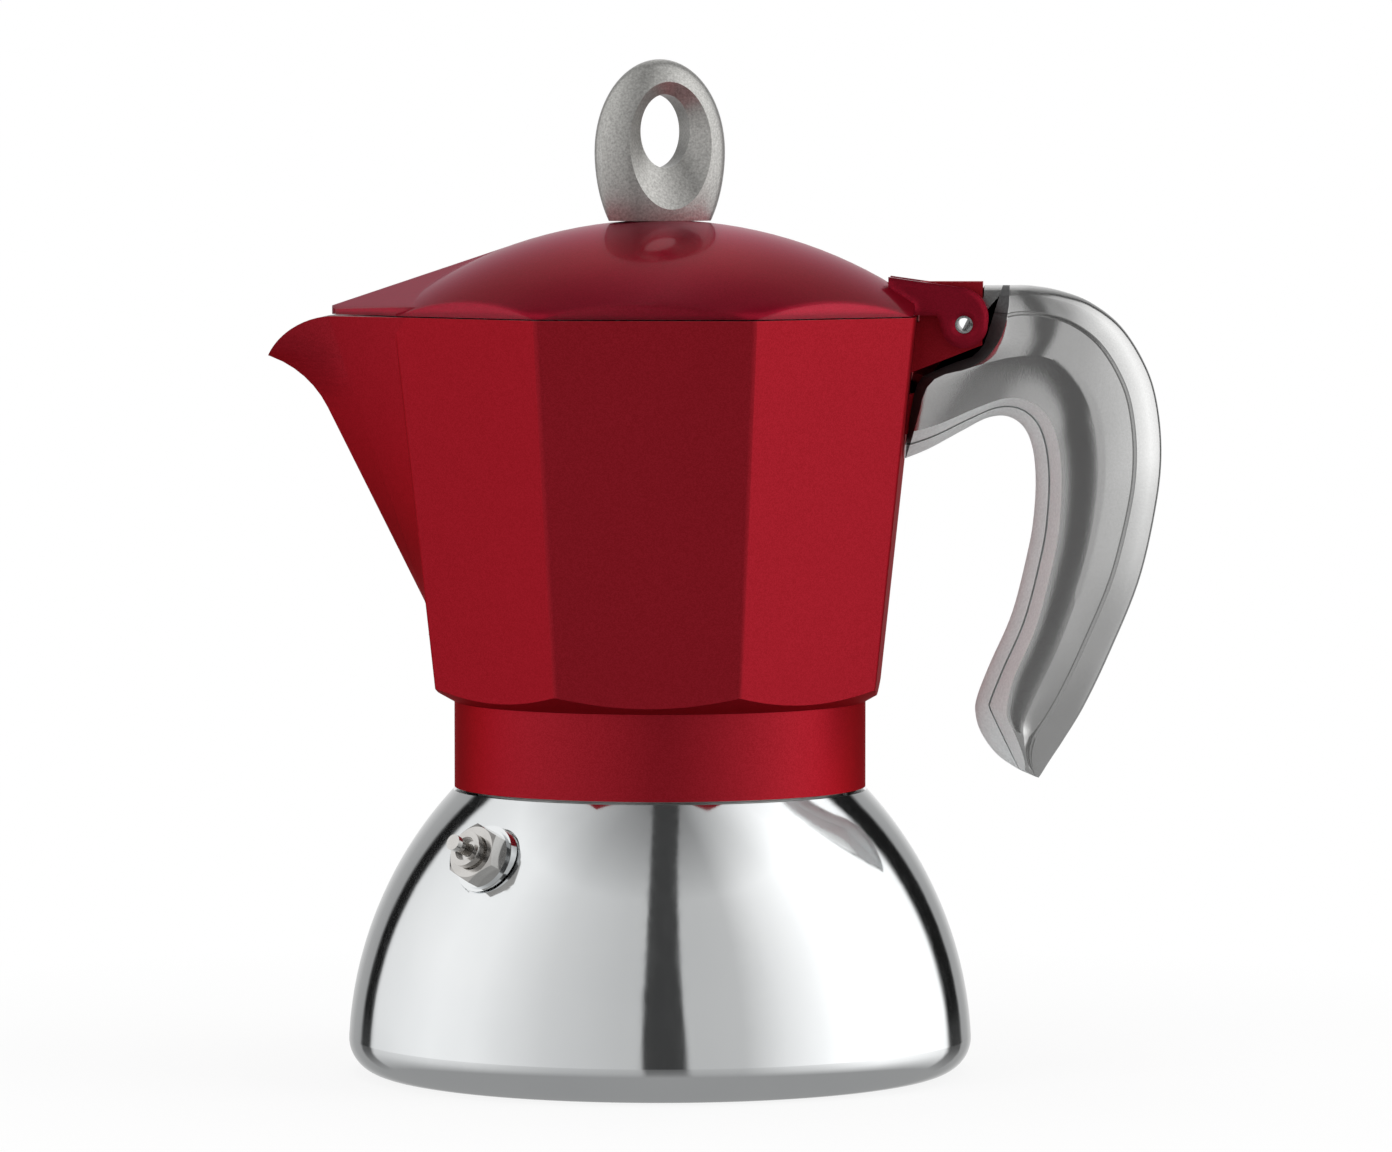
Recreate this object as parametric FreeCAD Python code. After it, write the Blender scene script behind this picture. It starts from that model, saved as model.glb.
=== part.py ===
import FreeCAD, Part
import math
import os

os.makedirs("parts", exist_ok=True)
Vector = FreeCAD.Vector
up = Vector(0, 0, 1)
across = Vector(0, 1, 0)

# Frame: millimetres, +Z up, origin on the pot's axis at the base, handle toward +X, spout toward -X.

# Fits
slide_fit = 0.3
screw_fit = 0.03
pin_press_fit = 0.02
pin_running_fit = 0.06
seat_gap = 0.05

# Boiler
bell_radius = 54.5
bell_centre_height = 2.4
shoulder_radius = 36.1
shoulder_height = 49.4
base_round = 6.0
skin_wall = 0.6
bond_gap = 0.1
cutting_margin = 5.0
liner_wall = 2.0
liner_floor = 3.0
liner_inner_round = 4.0
shoulder_wall = 2.5
neck_bore_radius = 29.6
neck_radius = 31.9
neck_top = 58.4

# Screw thread between boiler and collector
thread_pitch = 3.0
thread_turns = 2.0
thread_depth = 0.9
thread_root_width = 1.3
thread_crest_width = 0.6
thread_start = shoulder_height + 1.6
thread_crest_gap = 0.3

# Safety valve, with its own sizes measured along its axis from the seat on the boiler
valve_bearing = 39.0
valve_tilt = 23.5
valve_height = 39.6
valve_seat_rise = 1.1
valve_boss_radius = 6.0
valve_washer_radius = 5.4
valve_washer_thickness = 0.5
valve_hex_width = 9.3
valve_hex_height = 3.0
valve_shank_radius = 3.4
valve_shank_length = 6.0
valve_groove_radius = 2.7
valve_groove_length = 0.5
valve_ring_radius = 3.1
valve_ring_length = 1.2
valve_chamber_radius = 2.1
valve_chamber_depth = 6.0
valve_inlet_radius = 1.0
valve_retainer_thickness = 0.8
valve_retainer_depth = 1.0
valve_stem_radius = 1.1
valve_disc_radius = 1.8
valve_disc_thickness = 0.6
valve_seal_thickness = 0.3
valve_head_radius = 1.4
valve_head_length = 1.0
valve_stem_out = 3.2
valve_spring_wire = 0.3
valve_spring_turns = 5
spring_wire_sides = 8

# Coffee funnel
flange_thickness = 0.8
flange_radius = 31.4
basket_wall = 0.8
basket_gap = 0.4
basket_depth = 24.0
basket_cone_height = 3.0
sieve_ledge = 1.5
sieve_thickness = 0.5
funnel_tube_radius = 4.5
funnel_tube_wall = 0.8
funnel_tube_end = 8.0
hole_radius = 0.8
hole_ring_pitch = 4.5
hole_rings = 5

# Gasket and filter plate
gasket_inner_radius = 25.0
gasket_outer_radius = 32.6
gasket_thickness = 3.0
filter_radius = 26.5
filter_thickness = 0.6

# Collector
skirt_radius = 35.9
skirt_gap = 0.5
skirt_wall = 1.9
rim_height = 132.0
rim_corner_radius = 48.66
waist_height = 67.8
waist_corner_radius = 41.25
waist_slope = 0.56
corner_round = 1.2
collector_wall = 2.4
chamber_floor = 68.5
column_foot_radius = 8.0
column_top_radius = 6.0
column_bore_radius = 4.0
column_top = 108.0
column_port_width = 4.0
column_port_height = 5.0

# Spout
keel_foot_height = 78.0
keel_lean = 0.5
keel_straight_top = 115.9
beak_reach_angle = 20.0
beak_arc_radius = 17.9
beak_arc_steps = 6
spout_root_foot_height = 80.5
spout_root_top = Vector(-36.35, 27.2, 132.0)
spout_blend = 0.3
spout_wall_shift = 3.2
lip_level_run = 12.0358
lip_arc_radius = 14.7
lip_over = 1.5

# Lid
dome_radius = 78.5
dome_apex = 148.6
dome_flat_drop = 0.2
knob_seat_gap = 0.03
lid_corner_radius = 48.27
lid_wall = 1.6
lid_seat_gap = 0.2
tongue_ridge_height = 139.7
tongue_ridge_start = -39.3
tongue_ridge_slope = 0.335
tongue_side_slope = 0.257
tongue_nose = -57.3
tongue_nose_radius = 6.5
tongue_inset = 1.2
tongue_ridge_end = -24.9

# Hinge
pin_x = 53.1
pin_height = 130.6
pin_radius = 1.5
pin_bore_radius = 1.15
pin_slot = 0.5
lug_half_width = 4.5
lug_front = 45.3
lug_rear = 56.2
lug_top = 137.9
lug_foot_low = 121.8
lug_foot_high = 127.0
ear_gap = 0.4
ear_width = 3.5
ear_radius = 4.1
ear_top_near_dome = 138.8
ear_top_near_pin = 137.1
ear_front = 40.0
ear_root = 38.5
ear_bend_x = 51.9
ear_crown_x = 55.7
ear_crown_height = 135.6
ear_heel = 0.6
lug_sweep_gap = 0.3

# Handle
handle_half_width = 9.5
handle_parting = -3.5
handle_shell_wall = 2.6
handle_front_gap = 0.3
handle_pot_gap = 0.5
handle_corner_drop = 0.5
handle_foot_height = 106.9
handle_hinge_clear = 6.9
handle_hinge_edge = 60.3
handle_top = 137.3
handle_sections = [
    ((36.5, 103.9), (50.0, 139.5)), ((47.0, 108.9), (63.5, 137.5)), ((57.0, 114.2), (74.8, 134.4)),
    ((63.3, 112.7), (84.0, 124.4)), ((65.4, 103.5), (87.3, 109.0)), ((64.1, 91.0), (83.5, 86.0)),
    ((61.4, 80.3), (78.2, 72.9)), ((57.0, 70.2), (72.9, 62.0)), ((52.5, 60.5), (67.5, 51.0)),
    ((47.5, 51.0), (61.5, 40.5))]
chamfer_start = 2.6
chamfer_end = 4.7
chamfer_half_width = 8.4
ridge_share = 0.55
back_band = 5.0
back_half_width = 6.4
nose_half_width = 1.6
handle_seam_half = 4.0
section_over = 3.0
hollow_least_half = 0.5
tang_half_width = 3.0
tang_root_low = 111.2
tang_root_high = 118.0
tang_bend = 47.0
tang_bend_low = 112.4
tang_bend_high = 119.2
tang_end = 57.5
tang_end_low = 117.6
tang_end_high = 121.0
mount_screw_x = 52.6
mount_screw_height = 116.6
mount_screw_radius = 1.75
shell_screw_radius = 1.25
shell_screw_boss_radius = 3.2
shell_screw_places = [(78.5, 117.0), (64.0, 66.0)]
screw_head_ratio = 1.8
screw_head_height = 1.8
screw_head_depth = 2.6
screw_slot_depth = 0.8
screw_tip_cover = 4.4

# Knob
knob_height = 28.07
knob_widest_rise = 12.07
knob_half_width = 12.0
knob_half_depth = 6.5
egg_steps = 12
knob_hole_land = 2.4
knob_base_half_width = 9.4
knob_turn = 26.0
knob_hole_half_width = 4.65
knob_hole_half_height = 6.4
knob_hole_rise = 15.57
knob_dish_half_width = 8.0
knob_dish_half_height = 11.2
knob_dish_drop = 1.6
knob_dish_depth = 5.2
knob_screw_radius = 2.0
knob_screw_depth = 5.0
knob_washer_radius = 5.0
knob_washer_thickness = 0.8
knob_screw_head_radius = 3.6
knob_screw_head_height = 2.2


def line(start, end):
    return Part.LineSegment(start, end).toShape()


def arc(start, middle, end):
    return Part.Arc(start, middle, end).toShape()


def turned(points):
    corners = [Vector(radius, 0, height) for radius, height in points]
    outline = Part.makePolygon(corners + [corners[0]])
    return Part.Face(outline).revolve(Vector(0, 0, 0), up, 360)


def disc(radius, bottom, top):
    return Part.makeCylinder(radius, top - bottom, Vector(0, 0, bottom), up)


def ring(inner, outer, bottom, top):
    return disc(outer, bottom, top).cut(disc(inner, bottom - 1, top + 1))


def plate_across(outline, low, high):
    """A flat outline in the XZ plane, given thickness from y = low to y = high."""
    face = Part.Face(Part.Wire(outline))
    return face.translated(Vector(0, low, 0)).extrude(Vector(0, high - low, 0))


def straight_plate(points, low, high):
    corners = [Vector(x, 0, z) for x, z in points]
    return plate_across(Part.makePolygon(corners + [corners[0]]).Edges, low, high)


def rod_across(radius, x, z, low, high):
    return Part.makeCylinder(radius, high - low, Vector(x, low, z), across)


def octagon(corner_radius, height):
    angles = [math.radians(22.5 + 45 * step) for step in range(8)]
    corners = [Vector(corner_radius * math.cos(a), corner_radius * math.sin(a), height) for a in angles]
    return Part.makePolygon(corners + [corners[0]])


def octagon_taper(low_radius, low, high_radius, high):
    return Part.makeLoft([octagon(low_radius, low), octagon(high_radius, high)], True, True)


def save(shape, node):
    shape.exportStep("parts/" + node + ".step")
    print(node, "solids", len(shape.Solids), "valid", shape.isValid(), "volume", round(shape.Volume, 1))


# Bell form of the boiler
bell_rise = shoulder_height - bell_centre_height
bell_drop = bell_radius - shoulder_radius
bell_arc_radius = (bell_rise ** 2 + bell_drop ** 2) / (2 * bell_drop)
bell_centre = Vector(bell_radius - bell_arc_radius, 0, bell_centre_height)


def bell_point(inset, height):
    reach = bell_arc_radius - inset
    return Vector(bell_centre.x + math.sqrt(reach ** 2 - (height - bell_centre.z) ** 2), 0, height)


def bell_solid(inset, floor, top, foot_round):
    """The bell moved inward by inset, closed by a flat floor and a flat top."""
    reach = bell_arc_radius - inset
    round_height = floor + foot_round
    round_x = bell_centre.x + math.sqrt((reach - foot_round) ** 2 - (round_height - bell_centre.z) ** 2)
    round_centre = Vector(round_x, 0, round_height)
    outward = (round_centre - bell_centre).normalize()
    join = bell_centre + outward * reach
    round_middle = round_centre + (outward - up).normalize() * foot_round
    crown = bell_point(inset, top)
    edges = [line(Vector(0, 0, floor), Vector(round_x, 0, floor))]
    edges.append(arc(Vector(round_x, 0, floor), round_middle, join))
    edges.append(arc(join, bell_point(inset, (join.z + top) / 2), crown))
    edges.append(line(crown, Vector(0, 0, top)))
    edges.append(line(Vector(0, 0, top), Vector(0, 0, floor)))
    return Part.Face(Part.Wire(edges)).revolve(Vector(0, 0, 0), up, 360)


# Screw threads: one ridge outside the neck, one inside the skirt, with crests that pass each other
def thread_ridge(root_radius, depth, start):
    """A helical ridge that stands off the root radius by depth, outward where depth is above zero."""
    sunk = math.copysign(0.3, depth)
    half_root = thread_root_width / 2
    half_crest = thread_crest_width / 2
    points = [(root_radius - sunk, -half_root), (root_radius + depth, -half_crest)]
    points += [(root_radius + depth, half_crest), (root_radius - sunk, half_root)]
    corners = [Vector(radius, 0, start + height) for radius, height in points]
    profile = Part.makePolygon(corners + [corners[0]])
    path = Part.makeHelix(thread_pitch, thread_pitch * thread_turns, root_radius)
    path.translate(Vector(0, 0, start))
    return Part.Wire(path.Edges).makePipeShell([profile], True, True)


# Valve axis: shapes are drawn standing on z = 0 and moved to the seat
bearing = math.radians(valve_bearing)
tilt = math.radians(valve_tilt)
valve_axis = Vector(-math.sin(bearing) * math.cos(tilt), -math.cos(bearing) * math.cos(tilt), math.sin(tilt))
valve_wall_radius = bell_point(0, valve_height).x
valve_wall_x = -math.sin(bearing) * valve_wall_radius
valve_wall_y = -math.cos(bearing) * valve_wall_radius
valve_seat = Vector(valve_wall_x, valve_wall_y, valve_height) + valve_axis * valve_seat_rise
valve_place = FreeCAD.Placement(valve_seat, FreeCAD.Rotation(up, valve_axis))


def at_valve(shape):
    moved = shape.copy()
    moved.Placement = valve_place
    return moved


# Boiler shell: the steel skin, with a turned-in lip round the neck and a hole for the valve boss
thread_crest_radius = neck_radius + thread_depth
lip_bore_radius = thread_crest_radius + slide_fit
boiler_shell = bell_solid(0, 0, shoulder_height, base_round)
skin_inside = bell_solid(skin_wall, skin_wall, shoulder_height - skin_wall, base_round - skin_wall)
boiler_shell = boiler_shell.cut(skin_inside)
boiler_shell = boiler_shell.cut(disc(lip_bore_radius, shoulder_height - 2 * skin_wall, shoulder_height + 1))
valve_hole_radius = valve_boss_radius + slide_fit
boiler_shell = boiler_shell.cut(at_valve(disc(valve_hole_radius, -3 * liner_wall, 2 * valve_boss_radius)))
save(boiler_shell, "boiler_shell")

# Boiler liner: the pressure vessel, with neck, thread and a flat boss for the valve
liner_inset = skin_wall + bond_gap
liner_top = shoulder_height - liner_inset
liner_inner_inset = liner_inset + liner_wall
water_floor = liner_inset + liner_floor
boiler_liner = bell_solid(liner_inset, liner_inset, liner_top, base_round - liner_inset)
boiler_liner = boiler_liner.fuse(disc(neck_radius, liner_top - 1, neck_top))
boiler_liner = boiler_liner.fuse(at_valve(disc(valve_boss_radius, -2 * liner_wall, 0)))
water_space = bell_solid(liner_inner_inset, water_floor, liner_top - shoulder_wall, liner_inner_round)
boiler_liner = boiler_liner.cut(water_space)
boiler_liner = boiler_liner.cut(disc(neck_bore_radius, liner_top - 2 * shoulder_wall, neck_top + 1))
boiler_liner = boiler_liner.cut(at_valve(disc(valve_shank_radius + screw_fit, -2 * valve_shank_length, 1)))
boiler_liner = boiler_liner.fuse(thread_ridge(neck_radius, thread_depth, thread_start))
save(boiler_liner, "boiler_liner")

# Valve body: shank, hexagon, groove and ring, bored for the stem
hex_bottom = valve_washer_thickness
hex_top = hex_bottom + valve_hex_height
ring_bottom = hex_top + valve_groove_length
ring_top = ring_bottom + valve_ring_length
hex_corner = valve_hex_width / math.sqrt(3)
hex_angles = [math.radians(60 * step) for step in range(6)]
hex_points = [Vector(hex_corner * math.cos(a), hex_corner * math.sin(a), hex_bottom) for a in hex_angles]
hexagon = Part.Face(Part.makePolygon(hex_points + [hex_points[0]])).extrude(up * valve_hex_height)
hexagon = hexagon.common(turned([(0, hex_bottom), (hex_corner, hex_bottom), (hex_corner, hex_top - 0.5),
                                 (hex_corner - 0.8, hex_top), (0, hex_top)]))
chamber_floor_s = ring_top - valve_chamber_depth - valve_ring_length
retainer_top = ring_top - valve_retainer_depth
retainer_bottom = retainer_top - valve_retainer_thickness
valve_body = hexagon.fuse(disc(valve_shank_radius, -valve_shank_length, hex_bottom))
valve_body = valve_body.fuse(disc(valve_groove_radius, hex_top, ring_bottom))
valve_body = valve_body.fuse(disc(valve_ring_radius, ring_bottom, ring_top))
valve_body = valve_body.cut(disc(valve_chamber_radius, chamber_floor_s, ring_top + 1))
valve_body = valve_body.cut(disc(valve_inlet_radius, -valve_shank_length - 1, chamber_floor_s + 1))
save(at_valve(valve_body), "valve_body")

valve_washer = ring(valve_shank_radius + screw_fit, valve_washer_radius, 0, valve_washer_thickness)
save(at_valve(valve_washer), "valve_washer")

# Valve retainer: pressed ring that guides the stem and holds the spring
stem_guide_radius = valve_stem_radius + pin_running_fit
retainer_radius = valve_chamber_radius - pin_press_fit
valve_retainer = ring(stem_guide_radius, retainer_radius, retainer_bottom, retainer_top)
save(at_valve(valve_retainer), "valve_retainer")

# Valve stem: disc under the spring, rod through the retainer, riveted head outside
seal_top = chamber_floor_s + valve_seal_thickness
disc_top = seal_top + valve_disc_thickness
stem_top = ring_top + valve_stem_out
valve_stem = disc(valve_disc_radius, seal_top, disc_top)
valve_stem = valve_stem.fuse(disc(valve_stem_radius, disc_top, stem_top - valve_head_length))
valve_stem = valve_stem.fuse(disc(valve_head_radius, stem_top - valve_head_length, stem_top))
save(at_valve(valve_stem), "valve_stem")

valve_seal = disc(valve_disc_radius, chamber_floor_s, seal_top)
save(at_valve(valve_seal), "valve_seal")

# Valve spring: one wire from the disc to the retainer
spring_wire_radius = valve_spring_wire / 2
spring_coil_radius = (valve_stem_radius + valve_chamber_radius) / 2 + 0.1
spring_low = disc_top + spring_wire_radius
spring_high = retainer_bottom - spring_wire_radius
spring_pitch = (spring_high - spring_low) / valve_spring_turns
spring_path = Part.makeHelix(spring_pitch, spring_high - spring_low, spring_coil_radius)
spring_path.translate(up * spring_low)
wire_start = Vector(spring_coil_radius, 0, spring_low)
wire_angles = [math.radians(360 * step / spring_wire_sides) for step in range(spring_wire_sides)]
wire_points = [wire_start + Vector(math.cos(a), 0, math.sin(a)) * spring_wire_radius for a in wire_angles]
wire_section = Part.makePolygon(wire_points + [wire_points[0]])
valve_spring = Part.Wire(spring_path.Edges).makePipeShell([wire_section], True, False)
print("valve spring least gap between turns", round(spring_pitch - valve_spring_wire, 2))
save(at_valve(valve_spring), "valve_spring")


# Coffee funnel
def perforated_disc(radius, bottom, top):
    """A disc with round holes on rings of 6, 12, 18 and so on, about a hole on the axis."""
    circles = [Part.Circle(Vector(0, 0, bottom), up, radius),
               Part.Circle(Vector(0, 0, bottom), up, hole_radius)]
    for number in range(1, hole_rings + 1):
        reach = number * hole_ring_pitch
        for step in range(6 * number):
            turn = 2 * math.pi * step / (6 * number)
            centre = Vector(reach * math.cos(turn), reach * math.sin(turn), bottom)
            circles.append(Part.Circle(centre, up, hole_radius))
    outlines = [Part.Wire(circle.toShape()) for circle in circles]
    return Part.makeFace(outlines, "Part::FaceMakerBullseye").extrude(up * (top - bottom))


flange_top = neck_top + flange_thickness
basket_radius = neck_bore_radius - basket_gap
basket_bore = basket_radius - basket_wall
basket_bottom = flange_top - basket_depth
sieve_seat = basket_bottom + basket_wall + basket_cone_height
tube_hole_radius = funnel_tube_radius + pin_press_fit
funnel_basket = turned([
    (tube_hole_radius, basket_bottom), (tube_hole_radius, basket_bottom + basket_wall),
    (basket_bore - sieve_ledge, sieve_seat), (basket_bore, sieve_seat),
    (basket_bore, flange_top), (flange_radius, flange_top), (flange_radius, neck_top),
    (basket_radius, neck_top), (basket_radius, sieve_seat - basket_wall)])
save(funnel_basket, "funnel_basket")

funnel_tube_bore = funnel_tube_radius - funnel_tube_wall
funnel_tube = ring(funnel_tube_bore, funnel_tube_radius, funnel_tube_end, basket_bottom + basket_wall)
save(funnel_tube, "funnel_tube")

basket_sieve = perforated_disc(basket_bore - slide_fit, sieve_seat, sieve_seat + sieve_thickness)
save(basket_sieve, "basket_sieve")

# Gasket, and the filter plate held on its inner margin
gasket_top = flange_top + gasket_thickness
gasket = ring(gasket_inner_radius, gasket_outer_radius, flange_top, gasket_top)
save(gasket, "gasket")

filter_top = gasket_top + filter_thickness
filter_plate = perforated_disc(filter_radius, gasket_top, filter_top)
save(filter_plate, "filter_plate")

# Collector body: a skirt and under-cone turned round the axis, met by the eight tapering flats
taper = (rim_corner_radius - waist_corner_radius) / (rim_height - waist_height)
flat_ratio = math.cos(math.radians(22.5))


def corner_radius_at(height):
    return rim_corner_radius - taper * (rim_height - height)


def flat_distance_at(height):
    return corner_radius_at(height) * flat_ratio


skirt_bottom = shoulder_height + skirt_gap
cone_foot = waist_height - waist_slope * (waist_corner_radius - skirt_radius)
cone_reach = rim_corner_radius + 5
cone_top = cone_foot + waist_slope * (cone_reach - skirt_radius)
eight_flats = octagon_taper(corner_radius_at(skirt_bottom), skirt_bottom, rim_corner_radius, rim_height)
slant_edges = [edge for edge in eight_flats.Edges if edge.BoundBox.ZLength > 1]
eight_flats = eight_flats.makeFillet(corner_round, slant_edges)
turned_form = turned([
    (0, skirt_bottom), (skirt_radius, skirt_bottom), (skirt_radius, cone_foot),
    (cone_reach, cone_top), (cone_reach, rim_height), (0, rim_height)])
collector = eight_flats.common(turned_form)

# Spout: level sections with a keel in the middle plane, straight at first and then an arc out to the beak
keel_foot_x = -flat_distance_at(keel_foot_height)
root_foot_angle = math.radians(22.5)
root_foot_radius = corner_radius_at(spout_root_foot_height)
spout_root_foot = Vector(-root_foot_radius * math.cos(root_foot_angle),
                         root_foot_radius * math.sin(root_foot_angle), spout_root_foot_height)


def straight_keel(height):
    return keel_foot_x - keel_lean * (height - keel_foot_height)


def root_at(height):
    share = (height - spout_root_foot.z) / (spout_root_top.z - spout_root_foot.z)
    return spout_root_foot + (spout_root_top - spout_root_foot) * share


def spout_section(height, keel_x):
    root = root_at(height)
    tip = straight_keel(height)
    blend_x = tip + spout_blend * (root.x - tip)
    blend_y = spout_blend * root.y
    half = [(root.x + 9, 0.5 * root.y), (root.x + 0.5, root.y - 0.3), (blend_x, blend_y)]
    outline = [Vector(x, -y, height) for x, y in half]
    outline.append(Vector(keel_x, 0, height))
    outline += [Vector(x, y, height) for x, y in reversed(half)]
    return Part.makePolygon(outline + [outline[0]])


lean_angle = math.atan2(1, keel_lean)
reach_angle = math.radians(beak_reach_angle)
arc_start = Vector(straight_keel(keel_straight_top), 0, keel_straight_top)
arc_centre = arc_start - Vector(math.sin(lean_angle), 0, math.cos(lean_angle)) * beak_arc_radius


def beak_point(share):
    angle = lean_angle + share * (reach_angle - lean_angle)
    return arc_centre + Vector(math.sin(angle), 0, math.cos(angle)) * beak_arc_radius


beak_tip = beak_point(1)
spout_over = rim_height + 2
keel_foot_inside = keel_foot_height - 1
sections = [spout_section(keel_foot_inside, straight_keel(keel_foot_inside))]
sections.append(spout_section(keel_straight_top, straight_keel(keel_straight_top)))
for step in range(1, beak_arc_steps + 1):
    keel_point = beak_point(step / beak_arc_steps)
    sections.append(spout_section(keel_point.z, keel_point.x))
over_run = (spout_over - beak_tip.z) / math.tan(reach_angle)
sections.append(spout_section(spout_over, beak_tip.x - over_run))
spout_form = Part.makeLoft(sections, True, True)
spout_hollow = spout_form.translated(Vector(spout_wall_shift, 0, 0))

# Lip: everything above an arc that leaves the rim level and falls to the beak
lip_centre = Vector(beak_tip.x + lip_level_run, 0, rim_height - lip_arc_radius)
lip_end_angle = math.acos(-(lip_level_run + lip_over) / lip_arc_radius)
lip_middle_angle = (lip_end_angle + math.pi / 2) / 2
lip_points = [lip_centre + Vector(math.cos(a), 0, math.sin(a)) * lip_arc_radius
              for a in (math.pi / 2, lip_middle_angle, lip_end_angle)]
above = spout_over + cutting_margin
beyond_x = beak_tip.x - over_run - cutting_margin
lip_edges = [arc(lip_points[0], lip_points[1], lip_points[2])]
lip_edges.append(line(lip_points[2], Vector(beyond_x, 0, lip_points[2].z)))
lip_edges.append(line(Vector(beyond_x, 0, lip_points[2].z), Vector(beyond_x, 0, above)))
lip_edges.append(line(Vector(beyond_x, 0, above), Vector(0, 0, above)))
lip_edges.append(line(Vector(0, 0, above), Vector(0, 0, rim_height)))
lip_edges.append(line(Vector(0, 0, rim_height), lip_points[0]))
above_lip = plate_across(lip_edges, -rim_corner_radius, rim_corner_radius)
collector = collector.fuse(spout_form.cut(above_lip))

# Collector inside: chamber, spout channel, riser column, seat for gasket and filter, thread
wall_corner = collector_wall / flat_ratio
chamber_low = corner_radius_at(chamber_floor) - wall_corner
chamber_high = corner_radius_at(rim_height + 1) - wall_corner
chamber = octagon_taper(chamber_low, chamber_floor, chamber_high, rim_height + 1)
floor_block = disc(rim_corner_radius * 2, 0, chamber_floor)
collector = collector.cut(chamber)
collector = collector.cut(spout_hollow.cut(floor_block))
column = turned([(0, chamber_floor - 1), (column_foot_radius, chamber_floor - 1),
                 (column_foot_radius, chamber_floor), (column_top_radius, column_top), (0, column_top)])
collector = collector.fuse(column)
filter_recess_top = filter_top + seat_gap
filter_recess_radius = filter_radius + slide_fit
riser_top = column_top - column_port_height / 2
under_space = turned([
    (0, filter_recess_top), (gasket_inner_radius - 0.5, filter_recess_top),
    (column_bore_radius, chamber_floor - collector_wall), (column_bore_radius, riser_top), (0, riser_top)])
collector = collector.cut(under_space)
collector = collector.cut(disc(filter_recess_radius, skirt_bottom - 1, filter_recess_top))
collector = collector.cut(disc(gasket_outer_radius + slide_fit, skirt_bottom - 1, gasket_top))
collector = collector.cut(disc(skirt_radius - skirt_wall, skirt_bottom - 1, neck_top))
port_bottom = riser_top - column_port_height
port = Part.makeBox(4 * column_top_radius, column_port_width, column_port_height,
                    Vector(-2 * column_top_radius, -column_port_width / 2, port_bottom))
collector = collector.cut(port)
skirt_thread_depth = skirt_radius - skirt_wall - thread_crest_radius - thread_crest_gap
skirt_thread_start = thread_start + thread_pitch / 2
collector_thread = thread_ridge(skirt_radius - skirt_wall, -skirt_thread_depth, skirt_thread_start)
collector = collector.fuse(collector_thread)

# Collector outside: hinge lug, and the tang that the handle closes round
inside_flat = flat_distance_at(lug_foot_low) - 1
lug = straight_plate([
    (inside_flat, lug_foot_low), (lug_rear, lug_foot_high), (lug_rear, lug_top), (lug_front, lug_top),
    (lug_front, rim_height - 1), (inside_flat, rim_height - 1)], -lug_half_width, lug_half_width)
tang_points = [(inside_flat - 1, tang_root_low), (tang_bend, tang_bend_low), (tang_end, tang_end_low),
               (tang_end, tang_end_high), (tang_bend, tang_bend_high), (inside_flat - 1, tang_root_high)]
tang = straight_plate(tang_points, -tang_half_width, tang_half_width)
collector = collector.fuse(lug).fuse(tang)
collector = collector.cut(rod_across(pin_radius + pin_press_fit, pin_x, pin_height, -lug_rear, lug_rear))
mount_hole = mount_screw_radius + screw_fit
collector = collector.cut(rod_across(mount_hole, mount_screw_x, mount_screw_height, -lug_rear, lug_rear))
save(collector, "collector")

# Hinge pin: rolled from strip, so it is hollow and slotted
ear_low = lug_half_width + ear_gap
ear_high = ear_low + ear_width
hinge_pin = rod_across(pin_radius, pin_x, pin_height, -ear_high, ear_high)
hinge_pin = hinge_pin.cut(rod_across(pin_bore_radius, pin_x, pin_height, -2 * ear_high, 2 * ear_high))
slot = Part.makeBox(2 * pin_radius, 4 * ear_high, pin_slot,
                    Vector(pin_x, -2 * ear_high, pin_height - pin_slot / 2))
hinge_pin = hinge_pin.cut(slot)
save(hinge_pin, "hinge_pin")

# Lid: a shallow dome trimmed to the eight sides, a roof-shaped tongue over the spout, two hinge ears
lid_bottom = rim_height + lid_seat_gap
dome_centre = Vector(0, 0, dome_apex - dome_radius)
lid_block = octagon_taper(lid_corner_radius, lid_bottom, lid_corner_radius, dome_apex - dome_flat_drop)
dome = Part.makeSphere(dome_radius, dome_centre)
lid = lid_block.common(dome)
nose_centre_x = tongue_nose + tongue_nose_radius
tongue_root = spout_root_top - Vector(0, tongue_inset, 0)
nose_to_root = Vector(tongue_root.x - nose_centre_x, tongue_root.y, 0)
side_turn = math.atan2(nose_to_root.y, nose_to_root.x) + math.acos(tongue_nose_radius / nose_to_root.Length)


def tongue_form(inset, low, high):
    """Plan of the tongue: two straight sides from the lid to a round nose, moved inward by inset."""
    radius = tongue_nose_radius - inset
    side = Vector(math.cos(side_turn), math.sin(side_turn), 0)
    nose_mid = Vector(nose_centre_x, 0, low)
    left = nose_mid + side * radius
    right = Vector(left.x, -left.y, low)
    left_root = Vector(tongue_root.x, tongue_root.y, low) - Vector(0, inset * 1.4, 0)
    right_root = Vector(left_root.x, -left_root.y, low)
    left_in = Vector(tongue_ridge_end, left_root.y / 2, low)
    right_in = Vector(tongue_ridge_end, -left_root.y / 2, low)
    tip = nose_mid - Vector(radius, 0, 0)
    edges = [line(left_in, left_root), line(left_root, left), arc(left, tip, right)]
    edges += [line(right, right_root), line(right_root, right_in), line(right_in, left_in)]
    return Part.Face(Part.Wire(edges)).extrude(up * (high - low))


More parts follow.
